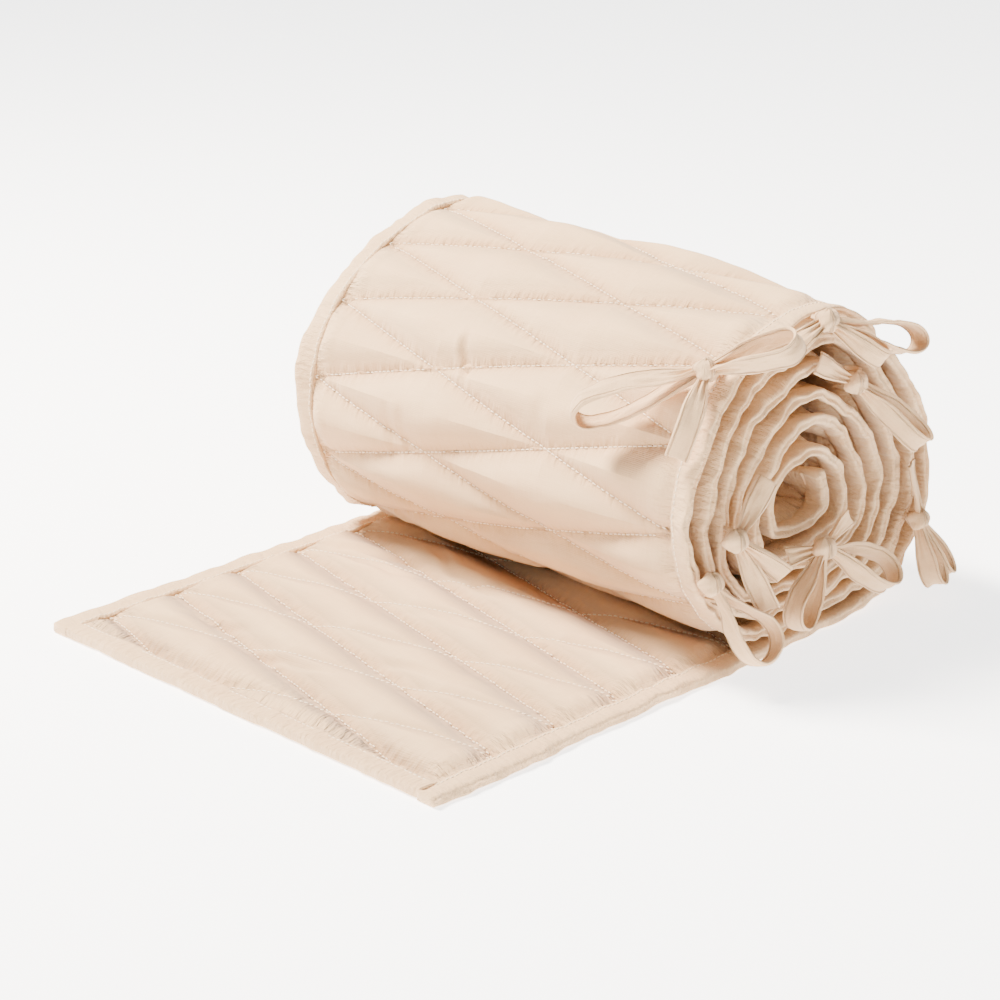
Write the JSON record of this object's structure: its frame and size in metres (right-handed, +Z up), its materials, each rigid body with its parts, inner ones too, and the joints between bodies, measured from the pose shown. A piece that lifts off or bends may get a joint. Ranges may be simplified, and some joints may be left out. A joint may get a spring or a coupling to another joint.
{
  "type": "crib bumper",
  "caption": "Quilted cotton crib bumper, bound on all edges and wound into a loose roll, with its outer end lying flat and tape ties tied in bows along one edge",
  "frame": {"origin": "on the floor under the roll, at the middle of the bumper's height: a point of the flat underside where it rests", "axes": "+X along the roll's axis towards the edge with the ties, -Y along the flap away from the roll, +Z up"},
  "size_m": [0.3403, 0.4201, 0.1843],
  "materials": {
    "quilted_cotton": "matt plain weave, quilted in long diamonds",
    "binding_cotton": "matt plain weave, folded over the edge and stitched",
    "tie_cotton": "matt flat sewn tape"
  },
  "bodies": {
    "root": {"panel": "quilted_cotton", "binding_tied_edge": "binding_cotton", "binding_plain_edge": "binding_cotton", "binding_flap_end": "binding_cotton", "binding_core_end": "binding_cotton", "tie_a": "tie_cotton", "tie_b": "tie_cotton", "tie_c": "tie_cotton", "tie_d": "tie_cotton", "tie_e": "tie_cotton", "tie_f": "tie_cotton", "tie_g": "tie_cotton"}
  },
  "joints": []
}
